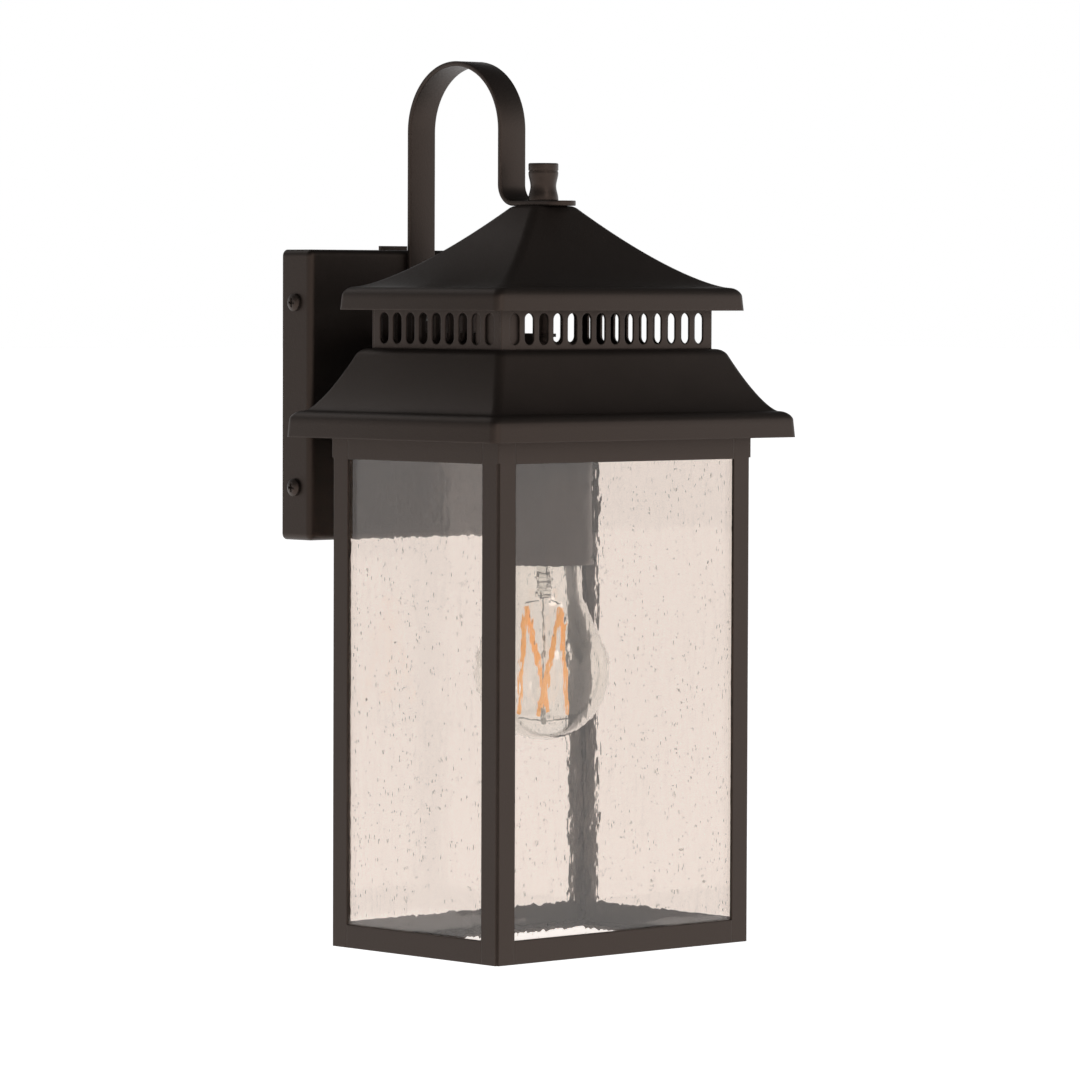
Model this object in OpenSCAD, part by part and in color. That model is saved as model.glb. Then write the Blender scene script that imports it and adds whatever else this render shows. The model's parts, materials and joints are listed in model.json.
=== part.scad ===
// Outdoor wall lantern with a looped strap arm, a two-tier vented roof,
// four seeded glass panes and a screw-in filament lamp.
// Origin: centre of the wall face. The wall is the plane y = 0, the lantern
// stands out towards -Y, +X is to the right seen from the front, +Z is up.

/* [Backplate] */
// Width of the square pan that covers the wall box
plate_w = 133; // [110:1:170]
// Height of the pan
plate_h = 133; // [116:1:190]
// Depth of the pan from the wall to its front face
plate_d = 19.5; // [16:0.5:30]
// Sheet thickness of the pan
plate_t = 1.2; // [0.8:0.1:2]
// Radius of the pan's front edges and corners
plate_r = 3; // [1.5:0.5:5]

/* [Wall bracket] */
// Thickness of the bracket strip
bracket_t = 2; // [1.5:0.1:3]
// Width of the bracket's strips
bracket_band = 16; // [12:0.5:20]
// How far the hanging tab stands above the pan
tab_rise = 2; // [1:0.5:6]
// Depth of the tapped end flanges
flange_d = 14; // [11:0.5:15]
// Distance between the two wall box screws
box_pitch = 88.9; // [60:0.1:96]
// Width of the slots for the wall box screws
box_slot_w = 5; // [4:0.1:6]
// End-to-end length of those slots
box_slot_len = 12; // [8:0.5:14]

/* [Side screws] */
// Thread diameter of the screws that hold the pan
side_screw_d = 4; // [3:0.5:5]
// Length of those screws under the head
side_screw_len = 8; // [6:1:12]
// Height of the screws above and below the middle of the pan
side_screw_z = 42.3; // [30:0.1:46]
// Distance of the screws from the wall
side_screw_y = 8.6; // [7:0.1:10]

/* [Arm] */
// Width of the flat strap
strap_w = 15.5; // [13:0.5:20]
// Thickness of the strap
strap_t = 2.3; // [1.5:0.1:3.5]
// Distance from the wall to the lantern's centre line
reach = 103.5; // [98:0.5:130]
// Distance from the centre line back to the strap's hanging leg
leg_back = 20.1; // [18:0.1:24]
// Height of the top of the loop above the middle of the pan
arch_top = 153; // [135:1:185]
// Outer radius of the strap's lower bend
bend_r = 10; // [6:0.5:11]
// Length of the foot past the centre line
foot_over = 18; // [14:0.5:24]
// Height of the strap's lower end
strap_bottom = 7; // [2:0.5:8]
// Width of the wire channel under the upper roof
channel_w = 12; // [11:0.5:14]
// Sheet thickness of the wire channel
channel_t = 1.5; // [1:0.1:2]
// Height of the wire channel
channel_h = 6.8; // [6:0.1:8]

/* [Roofs] */
// Width of the upper roof across its lip
upper_w = 154; // [146:1:185]
// Depth of the upper roof across its lip
upper_d = 108; // [100:1:130]
// Height of the upper roof from its lip to its top
upper_rise = 47.2; // [40:0.5:60]
// Height of the upper roof's lip
upper_lip_h = 10; // [7:0.5:12]
// Width of the lower roof across its lip
lower_w = 188; // [176:1:225]
// Depth of the lower roof across its lip
lower_d = 141; // [128:1:156]
// Height of the lower roof from its lip to its flat top
lower_rise = 40.1; // [34:0.5:52]
// Height of the lower roof's lip
lower_lip_h = 11.5; // [8:0.5:14]
// Sheet thickness of both roofs
roof_t = 1; // [0.8:0.1:1.5]
// How hollow the roof slopes are, where 1 is straight
roof_curve = 1.4; // [1:0.1:2]
// Corner radius of the roofs
roof_r = 4; // [2:0.5:6]

/* [Gallery] */
// Width of the slotted band between the roofs
gallery_w = 130; // [124:1:138]
// Depth of the slotted band
gallery_d = 86; // [80:1:92]
// Sheet thickness of the band
gallery_t = 1.2; // [0.8:0.1:1.5]
// Distance from the middle of one slot to the next
slot_pitch = 8.75; // [8:0.05:9.2]
// Width of a slot
slot_w = 5.9; // [4:0.1:6.2]
// Length of a slot
slot_h = 14; // [10:0.5:15]
// Number of slots in the front and in the back
slots_wide = 14; // [8:1:14]
// Number of slots in each side
slots_deep = 9; // [5:1:9]

/* [Glazed frame] */
// Width of the frame
frame_w = 156; // [140:1:170]
// Depth of the frame
frame_d = 111; // [96:1:120]
// Height of the frame
frame_h = 231.8; // [190:0.5:280]
// Visible width of the posts and rails
bar_w = 10.5; // [8:0.5:14]
// Sheet thickness of the frame
bar_t = 1.4; // [1.2:0.1:2]
// Width of the inward flanges at the top and bottom
rail_flange = 16; // [8:0.5:18]
// Thickness of the glass
glass_t = 2.5; // [2:0.1:3]
// How far a pane reaches behind its posts and rails
glass_lap = 4.5; // [3:0.1:4.6]

/* [Lamp and holder] */
// Outer diameter of the holder's cup
cup_d = 44; // [42:0.5:52]
// Height of the cup
cup_h = 58.9; // [58:0.1:64]
// Sheet thickness of the cup
cup_t = 1; // [0.8:0.1:1.5]
// Diameter of the lamp's glass
bulb_d = 60; // [50:1:66]
// Height of the lamp from its tip contact to the end of the glass
bulb_len = 114.8; // [108:0.1:130]
// Diameter of the lamp's screw base
base_d = 26; // [25.5:0.1:26.5]
// Lead of the lamp's thread per turn
lamp_pitch = 3.63; // [3.5:0.01:3.7]

/* [Centre rod and finial] */
// Diameter of the threaded rod
rod_d = 6; // [4:0.5:6]
// Diameter of the finial nut
finial_d = 13.8; // [12:0.1:16]
// Height of the finial nut
finial_h = 17; // [15:0.5:24]

/* [Hidden] */

$fn = 48;
e = 0.01;                       // overlap that keeps cuts clean
slack = 0.2;                    // clearance of a screw in its hole, on the radius
touch = 0.1;                    // gap between sheets that are laid together

bronze = [0.16, 0.14, 0.125];
steel = [0.62, 0.62, 0.64];
brass = [0.78, 0.62, 0.32];
copper = [0.72, 0.42, 0.26];
porcelain = [0.92, 0.91, 0.88];
clear_glass = [0.85, 0.9, 0.88, 0.35];

// Heights, from the top of the lower roof, which the arm fixes
lower_top = 21.9;
lower_lip = lower_top - lower_rise;
upper_lip = lower_top + 17.4;
upper_top = upper_lip + upper_rise;
foot_z = upper_top;
channel_top = lower_top + channel_h;
wire_z = lower_top + (channel_h - channel_t) / 2 + 0.65;

// Strap loop
strap_y = -plate_d;
leg_y = -(reach - leg_back);
arch_r = (strap_y - leg_y) / 2;
arch_y = (strap_y + leg_y) / 2;
arch_z = arch_top - arch_r;
bend_y = leg_y + strap_t - bend_r;
arm_screw_d = 4;
arm_screw_low = strap_bottom + 7.5;
arm_screw_high = channel_top + 9.3;
arm_flange_z0 = arm_screw_low - 5.5;
arm_flange_z1 = arm_screw_high + 8;
arm_face = plate_d + strap_t + channel_t;
screw_head_r = 4;
screw_head_h = 2.6;
nut_af = 7;
nut_h = 3.2;
wire_hole_r = 4.8;
pan_inside = -plate_d + plate_t + 0.05;     // inner face of the pan, with its seating gap

// Roof outlines: half width x against height z. y follows x in proportion.
cap_share = 0.142;              // flat top of the upper roof, as a share of its width
lip_in = 3;                     // how far the lip's crease stands in from its edge
ledge = 2.1;                    // flat step of the lower roof around the gallery
corner_steps = 4;
slope_steps = 10;
edge_steps = 4;
shoulder_steps = 4;
shoulder_r = 5;                 // radius where the slope leaves the flat top
upper_top_x = cap_share * upper_w / 2;
upper_top_y = cap_share * upper_d / 2;
lower_top_x = gallery_w / 2 + ledge;
lower_top_y = gallery_d / 2 + ledge;
lip_round = 5.2;                // radius of the crease between slope and lip
lip_turn = 72;                  // angle through which the crease turns

// Rounded shoulder, hollow slope, rounded crease, then the straight lip
function roof_outline(x_top, x_lip, z_top, z_lip, lip_h) =
    let (x_edge = x_lip - lip_in - lip_round / 2,
        z_edge = z_lip + lip_h + 0.4,
        lean = atan(roof_curve * (z_top - z_edge) / (x_edge - x_top)),
        x_slope = x_top + shoulder_r * sin(lean),
        z_slope = z_top - shoulder_r * (1 - cos(lean)))
    concat(
        [for (i = [0 : shoulder_steps - 1])
            let (a = lean * i / shoulder_steps)
            [x_top + shoulder_r * sin(a), z_top - shoulder_r * (1 - cos(a))]],
        [for (i = [0 : slope_steps])
            let (t = i / slope_steps)
            [x_slope + (x_edge - x_slope) * t,
                z_edge + (z_slope - z_edge) * pow(1 - t, roof_curve)]],
        [for (i = [1 : edge_steps])
            let (a = lip_turn * i / edge_steps)
            [x_edge + lip_round * sin(a), z_edge - lip_round * (1 - cos(a))]],
        [[x_lip, z_lip]]);

upper_out = roof_outline(upper_top_x, upper_w / 2, upper_top, upper_lip, upper_lip_h);
lower_out = roof_outline(lower_top_x, lower_w / 2, lower_top, lower_lip, lower_lip_h);

// Height of an outline at half width x
function height_at(line, x) = lookup(-x, [for (p = line) [-p[0], p[1]]]);
// Half width of an outline at height z
function width_at(line, z) = lookup(-z, [for (p = line) [-p[1], p[0]]]);
// Linear map of half width to half depth between the roof's top and its lip
function side_of(x, x0, x1, y0, y1) = y0 + (x - x0) * (y1 - y0) / (x1 - x0);

upper_y_at = function (x) side_of(x, upper_top_x, upper_w / 2, upper_top_y, upper_d / 2);
lower_y_at = function (x) side_of(x, lower_top_x, lower_w / 2, lower_top_y, lower_d / 2);

// Gallery: one band folded at three corners and closed by an angle at the fourth
gallery_z0 = lower_top;
gallery_top = height_at(upper_out, gallery_w / 2) - 1.3 * roof_t - touch;
slot_z = gallery_z0 + 2.3;
angle_leg_wide = 13;
angle_leg_deep = 17;
angle_t = 1;

// Frame
frame_top = lower_lip + 1.2;
frame_bottom = frame_top - frame_h;
open_top = frame_top - bar_w - 0.5;
soffit_t = 1.2;
soffit_x = width_at(lower_out, frame_top) - roof_t - 3 * touch;
soffit_y = lower_y_at(width_at(lower_out, frame_top)) - roof_t - 3 * touch;
seam = 0.75 * bar_t;            // groove along the outer corner of a post
glass_gap = 0.15;
glass_z0 = frame_bottom + bar_t + glass_gap;
glass_z1 = open_top + glass_lap;
clip_t = 0.8;
clip_h = 8;

// Lamp holder, hung from the centre rod
cup_top = frame_top;
cup_bottom = cup_top - cup_h;
bridge_top = cup_top - cup_t;
bridge_t = 1.2;
bridge_w = 12;
bridge_x = 15;
washer_t = 1;
rod_nut_af = 8;
rod_nut_h = 4;
channel_nut_h = 3;
rod_washer_top = bridge_top - bridge_t;
rod_nut_top = rod_washer_top - washer_t;
rod_z0 = rod_nut_top - rod_nut_h - 1.5;
rod_z1 = foot_z + strap_t + 13;
holder_top = bridge_top - 12.2;
holder_r = 18;
holder_mouth = holder_top - 39.3;
holder_bore_r = 14;
shell_r = base_d / 2 + 0.4;
shell_t = 0.5;
shell_len = 22;
lead_back = 10;                 // the leads run this far behind the centre line
lead_hole_r = 4;

// Lamp, hanging base up
tip_z = holder_top - 10.8;
bulb_end = tip_z - bulb_len;
base_len = 25;
base_rim = tip_z - base_len - 1;
ball_z = bulb_end + 31.8;
neck_r = 17.4;
neck_z = ball_z + 40;
neck_top_r = base_d / 2 - 1.5;
neck_low_z = base_rim - 12;
glass_wall = 0.8;
filament_top = tip_z - 54.6;
filament_end = tip_z - 103.5;
filament_r = 1.05;
filament_top_x = 8;
filament_end_r = 11.3;
view_turn = -43;                // turn of the filament cage about the lamp's axis

// Finial
finial_z = foot_z + strap_t;
finial_bore = 14.5;
running = 0.05;                 // radial clearance of the finial on the rod

// Leads
lead_r = 1.1;
lead_x = 1.4;
lead_sides = 8;
ground_x = -26;

// ---------------------------------------------------------------- helpers

module at_axis() {
    translate([0, -reach, 0]) children();
}

module along_y(y0, y1) {
    translate([0, y1, 0]) rotate([90, 0, 0]) linear_extrude(y1 - y0) children();
}

module along_x(x0, x1) {
    translate([x0, 0, 0]) rotate([90, 0, 90]) linear_extrude(x1 - x0) children();
}

module box(x0, x1, y0, y1, z0, z1) {
    translate([x0, y0, z0]) cube([x1 - x0, y1 - y0, z1 - z0]);
}

module hole_y(x, z, r, y0, y1) {
    translate([x, y1, z]) rotate([90, 0, 0]) cylinder(r = r, h = y1 - y0);
}

module mirror_x() {
    children();
    mirror([1, 0, 0]) children();
}

module round_rect(x, y, r) {
    square([2 * x, 2 * (y - r)], center = true);
    square([2 * (x - r), 2 * y], center = true);
    for (sx = [-1, 1], sy = [-1, 1]) translate([sx * (x - r), sy * (y - r)]) circle(r);
}

module ring(r_out, r_in, h) {
    difference() {
        cylinder(r = r_out, h = h);
        translate([0, 0, -e]) cylinder(r = r_in, h = h + 2 * e);
    }
}

module hex_nut(af, bore, h) {
    difference() {
        cylinder(r = af / sqrt(3), h = h, $fn = 6);
        translate([0, 0, -e]) cylinder(r = bore, h = h + 2 * e);
    }
}

// Pan-head screw along -Z from the underside of its head at z = 0, cross recess on top
module pan_screw(d, len) {
    difference() {
        union() {
            intersection() {
                cylinder(r = screw_head_r, h = screw_head_h);
                translate([0, 0, -screw_head_r]) sphere(r = screw_head_r + screw_head_h);
            }
            translate([0, 0, -len]) cylinder(r = d / 2, h = len + e);
        }
        for (turn = [0, 90]) rotate([0, 0, turn])
            translate([-screw_head_r / 2, -0.5, screw_head_h - 1.5])
                cube([screw_head_r, 1, 2]);
    }
}

// Rounded rectangle loop of half sizes x and y at height z
function loop(x, y, z, r) = [
    for (q = [0 : 3], i = [0 : corner_steps])
        let (a = 90 * q + 90 * i / corner_steps,
            sx = (q == 0 || q == 3) ? 1 : -1,
            sy = (q == 0 || q == 1) ? 1 : -1)
        [sx * (x - r) + r * cos(a), sy * (y - r) + r * sin(a), z]];

// Outline moved inwards and down by t, square to its own direction
function inset(line, t) = [
    for (i = [0 : len(line) - 1])
        let (a = line[max(i - 1, 0)], b = line[min(i + 1, len(line) - 1)],
            d = [b[0] - a[0], b[1] - a[1]], n = norm(d))
        i == 0 ? [line[0][0], line[0][1] - t]
        : i == len(line) - 1 ? [line[i][0] - t, line[i][1]]
        : [line[i][0] + t * d[1] / n, line[i][1] - t * d[0] / n]];

// Thin hipped shell: outer loops from the top down, then inner loops back up
module hip_shell(line, y_at, r, t) {
    inner = inset(line, t);
    n = 4 * (corner_steps + 1);
    rows = 2 * len(line);
    points = concat(
        [for (p = line) each loop(p[0], y_at(p[0]), p[1], r)],
        [for (i = [len(line) - 1 : -1 : 0])
            let (p = inner[i], q = line[i])
            each loop(p[0], y_at(q[0]) - (q[0] - p[0]), p[1], r - t / 2)]);
    sides = [
        for (k = [0 : rows - 2], j = [0 : n - 1])
            let (a = k * n + j, b = k * n + (j + 1) % n)
            [a, b, b + n, a + n]];
    polyhedron(
        points,
        concat([[for (j = [n - 1 : -1 : 0]) j]], sides,
            [[for (j = [0 : n - 1]) (rows - 1) * n + j]]),
        convexity = 6);
}

// Waypoints with each corner swept over a length r
function eased(route, r) = concat(
    [route[0]],
    [for (i = [1 : len(route) - 2])
        let (p = route[i], a = route[i - 1] - p, b = route[i + 1] - p,
            s = p + a * r / norm(a), f = p + b * r / norm(b))
        for (t = [0 : 0.25 : 1]) s * pow(1 - t, 2) + p * 2 * t * (1 - t) + f * t * t],
    [route[len(route) - 1]]);

// Round wire along a route that stays in the plane square to the unit vector u
module wire(route, r, u, ease) {
    path = eased(route, ease);
    last = len(path) - 1;
    n = lead_sides;
    points = [
        for (i = [0 : last])
            let (d = path[min(i + 1, last)] - path[max(i - 1, 0)],
                v = cross(d, u) / norm(cross(d, u)))
            for (j = [0 : n - 1]) path[i] + r * (u * cos(360 * j / n) + v * sin(360 * j / n))];
    polyhedron(
        points,
        concat([[for (j = [0 : n - 1]) j]],
            [for (i = [0 : last - 1], j = [0 : n - 1])
                [i * n + j, (i + 1) * n + j, (i + 1) * n + (j + 1) % n, i * n + (j + 1) % n]],
            [[for (j = [n - 1 : -1 : 0]) last * n + j]]),
        convexity = 8);
}

// Straight thin rod between two points
module rod_between(a, b, r) {
    d = b - a;
    translate(a) rotate([0, acos(d[2] / norm(d)), atan2(d[1], d[0])])
        cylinder(r = r, h = norm(d), $fn = 8);
}

// ---------------------------------------------------------------- wall side

module pan_solid(x, z, d, r) {
    // Square pan with rounded front edges, built from the wall towards -Y
    hull() {
        along_y(-(d - r), 0) round_rect(x, z, r);
        for (sx = [-1, 1], sz = [-1, 1])
            translate([sx * (x - r), -(d - r), sz * (z - r)]) sphere(r = r, $fn = 24);
    }
}

module backplate() {
    color(bronze) difference() {
        pan_solid(plate_w / 2, plate_h / 2, plate_d, plate_r);
        translate([0, e, 0])
            pan_solid(plate_w / 2 - plate_t, plate_h / 2 - plate_t,
                plate_d - plate_t + e, plate_r - plate_t);
        // Notch for the bracket's hanging tab
        box(-bracket_band / 2 - 2 * slack, bracket_band / 2 + 2 * slack,
            -bracket_t - 2 * slack, e, plate_h / 2 - 2 * plate_t, plate_h / 2 + e);
        for (sx = [-1, 1], sz = [-1, 1])
            translate([sx * plate_w / 2, -side_screw_y, sz * side_screw_z])
                rotate([0, 90, 0])
                    cylinder(r = side_screw_d / 2 + slack, h = 4 * plate_t, center = true);
        for (z = [arm_screw_low, arm_screw_high])
            hole_y(0, z, arm_screw_d / 2 + slack, -plate_d - e, -plate_d + 2 * plate_t);
        hole_y(0, wire_z, wire_hole_r, -plate_d - e, -plate_d + 2 * plate_t);
    }
}

bracket_x = plate_w / 2 - plate_t - slack;
bracket_low = -(plate_h / 2 - 8);

module wall_bracket() {
    half = bracket_band / 2;
    color(steel) difference() {
        union() {
            box(-half, half, -bracket_t, 0, bracket_low, plate_h / 2 + tab_rise);
            for (sz = [-1, 1]) {
                box(-bracket_x, bracket_x, -bracket_t, 0,
                    sz * side_screw_z - half, sz * side_screw_z + half);
                for (sx = [-1, 1])
                    box(min(sx * bracket_x, sx * (bracket_x - bracket_t)),
                        max(sx * bracket_x, sx * (bracket_x - bracket_t)),
                        -flange_d, 0, sz * side_screw_z - half, sz * side_screw_z + half);
            }
        }
        for (sx = [-1, 1], sz = [-1, 1])
            translate([sx * bracket_x, -side_screw_y, sz * side_screw_z])
                rotate([0, 90, 0])
                    cylinder(r = side_screw_d / 2 + slack / 4, h = 4 * bracket_t, center = true);
        // Slots for the two screws of the wall box
        for (sz = [-1, 1]) {
            for (end = [-1, 1])
                hole_y(0, sz * box_pitch / 2 + end * (box_slot_len - box_slot_w) / 2,
                    box_slot_w / 2, -bracket_t - e, e);
            box(-box_slot_w / 2, box_slot_w / 2, -bracket_t - e, e,
                sz * box_pitch / 2 - (box_slot_len - box_slot_w) / 2,
                sz * box_pitch / 2 + (box_slot_len - box_slot_w) / 2);
        }
        hole_y(ground_x, arm_screw_high, arm_screw_d / 2 + slack / 4, -bracket_t - e, e);
    }
}

module side_screws() {
    color(bronze) for (sx = [-1, 1], sz = [-1, 1])
        translate([sx * plate_w / 2, -side_screw_y, sz * side_screw_z])
            rotate([0, sx * 90, 0]) pan_screw(side_screw_d, side_screw_len);
}

module ground_screw() {
    color([0.1, 0.45, 0.2])
        translate([ground_x, -bracket_t, arm_screw_high]) rotate([90, 0, 0]) {
            cylinder(r = nut_af / sqrt(3), h = nut_h, $fn = 6);
            translate([0, 0, -bracket_t]) cylinder(r = arm_screw_d / 2, h = bracket_t + e);
        }
}

module ground_lead() {
    color(copper) wire([
        [ground_x + nut_af / 2 + 1.2, -5, arm_screw_high],
        [ground_x / 2, -7, arm_screw_high],
        [ground_x / 4, -13, arm_screw_high],
        [-nut_af / sqrt(3) - 4 * slack, pan_inside + nut_h / 2, arm_screw_high]],
        0.8, [0, 0, 1], 2);
}

// ---------------------------------------------------------------- arm

module arm_strap() {
    color(bronze) difference() {
        union() {
            along_x(-strap_w / 2, strap_w / 2) {
                translate([strap_y - strap_t, strap_bottom])
                    square([strap_t, arch_z - strap_bottom]);
                translate([leg_y, foot_z + bend_r])
                    square([strap_t, arch_z - foot_z - bend_r]);
                difference() {
                    translate([arch_y, arch_z]) circle(arch_r, $fn = 96);
                    translate([arch_y, arch_z]) circle(arch_r - strap_t, $fn = 96);
                    translate([arch_y - 2 * arch_r, arch_z - 2 * arch_r])
                        square([4 * arch_r, 2 * arch_r]);
                }
                intersection() {
                    difference() {
                        translate([bend_y, foot_z + bend_r]) circle(bend_r);
                        translate([bend_y, foot_z + bend_r]) circle(bend_r - strap_t);
                    }
                    translate([bend_y, foot_z]) square([bend_r, bend_r]);
                }
            }
            translate([0, 0, foot_z]) linear_extrude(strap_t) {
                translate([-strap_w / 2, -reach - foot_over + strap_w / 2])
                    square([strap_w, bend_y + reach + foot_over - strap_w / 2]);
                translate([0, -reach - foot_over + strap_w / 2]) circle(strap_w / 2);
            }
        }
        at_axis() translate([0, 0, foot_z - e]) cylinder(r = rod_d / 2 + slack, h = strap_t + 2 * e);
        for (z = [arm_screw_low, arm_screw_high])
            hole_y(0, z, arm_screw_d / 2 + slack, strap_y - strap_t - e, strap_y + e);
        hole_y(0, wire_z, wire_hole_r, strap_y - strap_t - e, strap_y + e);
    }
}

module arm_channel() {
    half = channel_w / 2;
    color(bronze) difference() {
        union() {
            box(-strap_w / 2, strap_w / 2, -arm_face, -arm_face + channel_t,
                arm_flange_z0, arm_flange_z1);
            box(-half, half, -reach, -arm_face + e, lower_top, channel_top);
            at_axis() translate([0, 0, channel_top - channel_t])
                cylinder(r = half, h = channel_t);
        }
        box(-half + channel_t, half - channel_t, -reach - e, -arm_face + channel_t + e,
            lower_top - e, channel_top - channel_t);
        at_axis() translate([0, 0, lower_top])
            cylinder(r = rod_d / 2 + slack, h = channel_h + e);
        for (z = [arm_screw_low, arm_screw_high])
            hole_y(0, z, arm_screw_d / 2 + slack, -arm_face - e, -arm_face + channel_t + e);
    }
}

module arm_screws() {
    color(steel) for (z = [arm_screw_low, arm_screw_high])
        translate([0, -arm_face, z]) rotate([90, 0, 0])
            pan_screw(arm_screw_d, channel_t + strap_t + plate_t + nut_h + 1);
}

module arm_nuts() {
    color(steel) for (z = [arm_screw_low, arm_screw_high])
        translate([0, pan_inside + nut_h, z]) rotate([90, 0, 0])
            hex_nut(nut_af, arm_screw_d / 2 + e, nut_h);
}

module wire_bushing() {
    barrel = pan_inside + plate_d + strap_t;
    color([0.08, 0.08, 0.08]) translate([0, pan_inside, wire_z]) rotate([90, 0, 0]) {
        translate([0, 0, -1.2]) ring(wire_hole_r + 1.2, wire_hole_r - 1.6, 1.2 + e);
        ring(wire_hole_r - touch, wire_hole_r - 1.6, barrel);
    }
}

module lead(x, colour) {
    color(colour) wire([
        [x, -reach + lead_back, holder_top],
        [x, -reach + lead_back, wire_z],
        [x, -plate_d + 9, wire_z],
        [x, -plate_d + 9, arm_screw_low + 6]],
        lead_r, [1, 0, 0], 4);
}

module lead_black() { lead(-lead_x, [0.07, 0.07, 0.07]); }
module lead_white() { lead(lead_x, [0.88, 0.87, 0.84]); }

// ---------------------------------------------------------------- rod and finial

module threaded_rod() {
    color(steel) at_axis() translate([0, 0, rod_z0]) cylinder(r = rod_d / 2, h = rod_z1 - rod_z0);
}

// Thin nut inside the channel that clamps the lower roof
module channel_nut() {
    color(steel) at_axis() translate([0, 0, lower_top]) rotate([0, 0, 30])
        hex_nut(rod_nut_af, rod_d / 2 + e, channel_nut_h);
}

module rod_washer() {
    color(steel) at_axis() translate([0, 0, rod_washer_top - washer_t])
        ring(rod_d, rod_d / 2 + slack, washer_t);
}

module rod_nut() {
    color(steel) at_axis() translate([0, 0, rod_nut_top - rod_nut_h])
        hex_nut(rod_nut_af, rod_d / 2 + e, rod_nut_h);
}

module finial() {
    r = finial_d / 2;
    waist = 0.95;
    band = finial_h * 0.22;
    neck = finial_h - band;
    outline = concat(
        [[0, 0], [r - 0.3, 0], [r, 0.3]],
        [for (i = [0 : 12])
            let (t = i / 12)
            [r - 0.1 - waist * (1 - cos(360 * pow(t, 0.9))) / 2, 1.2 + (neck - 1.6) * t]],
        [[r - 0.55, neck - 0.2], [r - 0.55, neck + 0.1], [r - 0.1, neck + 0.4],
            [r - 0.1, finial_h - 0.5], [r - 0.6, finial_h], [0, finial_h]]);
    color(bronze) at_axis() translate([0, 0, finial_z]) difference() {
        rotate_extrude() polygon(outline);
        translate([0, 0, -e]) cylinder(r = rod_d / 2 + running, h = finial_bore + e);
    }
}

// ---------------------------------------------------------------- roofs and gallery

module upper_roof() {
    color(bronze) at_axis() difference() {
        hip_shell(upper_out, upper_y_at, roof_r, roof_t);
        translate([0, 0, upper_top - 2 * roof_t])
            cylinder(r = rod_d / 2 + slack, h = 3 * roof_t);
    }
}

module lower_roof() {
    color(bronze) at_axis() difference() {
        hip_shell(lower_out, lower_y_at, roof_r, roof_t);
        translate([0, 0, lower_top - 2 * roof_t])
            cylinder(r = rod_d / 2 + slack, h = 3 * roof_t);
        translate([0, lead_back, lower_top - 2 * roof_t])
            cylinder(r = lead_hole_r, h = 3 * roof_t);
    }
}

// Slots in the plane of a panel, counted out from its middle
module slot_row(count) {
    for (i = [0 : count - 1])
        translate([(i - (count - 1) / 2) * slot_pitch, slot_z]) {
            translate([-slot_w / 2, slot_w / 2]) square([slot_w, slot_h - slot_w]);
            translate([0, slot_w / 2]) circle(slot_w / 2, $fn = 24);
            translate([0, slot_h - slot_w / 2]) circle(slot_w / 2, $fn = 24);
        }
}

module panel_outline(half) {
    translate([-half, gallery_z0]) square([2 * half, gallery_top - gallery_z0]);
}

module gallery_front() {
    color(bronze) at_axis() along_y(-gallery_d / 2, -gallery_d / 2 + gallery_t) difference() {
        panel_outline(gallery_w / 2);
        slot_row(slots_wide);
    }
}

module gallery_back() {
    color(bronze) at_axis() along_y(gallery_d / 2 - gallery_t, gallery_d / 2) difference() {
        panel_outline(gallery_w / 2);
        slot_row(slots_wide);
        translate([-channel_w / 2 - 2 * slack, gallery_z0 - e])
            square([channel_w + 4 * slack, channel_top + 2 * slack - gallery_z0]);
    }
}

module gallery_side(x0) {
    color(bronze) at_axis() along_x(x0, x0 + gallery_t) difference() {
        panel_outline(gallery_d / 2 - gallery_t);
        slot_row(slots_deep);
    }
}

module gallery_left() { gallery_side(-gallery_w / 2); }
module gallery_right() { gallery_side(gallery_w / 2 - gallery_t); }

// Angle inside the front left corner, where the two ends of the band meet
module gallery_seam_angle() {
    color(bronze) at_axis()
        translate([gallery_t - gallery_w / 2, gallery_t - gallery_d / 2, lower_top])
            linear_extrude(gallery_top - lower_top) polygon([
                [0, 0], [angle_leg_wide, 0], [angle_leg_wide, angle_t],
                [angle_t, angle_t], [angle_t, angle_leg_deep], [0, angle_leg_deep]]);
}

module soffit_plate() {
    color(bronze) at_axis() difference() {
        translate([0, 0, frame_top]) linear_extrude(soffit_t)
            round_rect(soffit_x, soffit_y, roof_r - roof_t);
        translate([0, 0, frame_top - e]) cylinder(r = rod_d / 2 + slack, h = soffit_t + 2 * e);
        translate([0, lead_back, frame_top - e])
            cylinder(r = lead_hole_r, h = soffit_t + 2 * e);
    }
}

// ---------------------------------------------------------------- glazed frame

module post(sx, sy) {
    color(bronze) at_axis() mirror([sx < 0 ? 1 : 0, 0, 0]) mirror([0, sy < 0 ? 1 : 0, 0])
        translate([frame_w / 2, frame_d / 2, frame_bottom]) difference() {
            linear_extrude(frame_h) polygon([
                [0, 0], [-bar_w, 0], [-bar_w, -bar_t], [-bar_t, -bar_t],
                [-bar_t, -bar_w], [0, -bar_w]]);
            translate([-seam, -seam, -e]) cube([2 * seam, 2 * seam, frame_h - bar_w]);
        }
}

module post_front_left() { post(-1, -1); }
module post_front_right() { post(1, -1); }
module post_back_left() { post(-1, 1); }
module post_back_right() { post(1, 1); }

// Rail along X at the front: an angle whose flange reaches into the corners
module wide_rail(sy, z0, h, flange_z) {
    inner = frame_w / 2 - bar_w;
    color(bronze) at_axis() mirror([0, sy > 0 ? 1 : 0, 0]) {
        box(-inner, inner, -frame_d / 2, -frame_d / 2 + bar_t, z0, z0 + h);
        box(-inner, inner, -frame_d / 2, -frame_d / 2 + rail_flange, flange_z, flange_z + bar_t);
        box(-frame_w / 2 + bar_t, frame_w / 2 - bar_t, -frame_d / 2 + bar_t,
            -frame_d / 2 + rail_flange, flange_z, flange_z + bar_t);
    }
}

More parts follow.
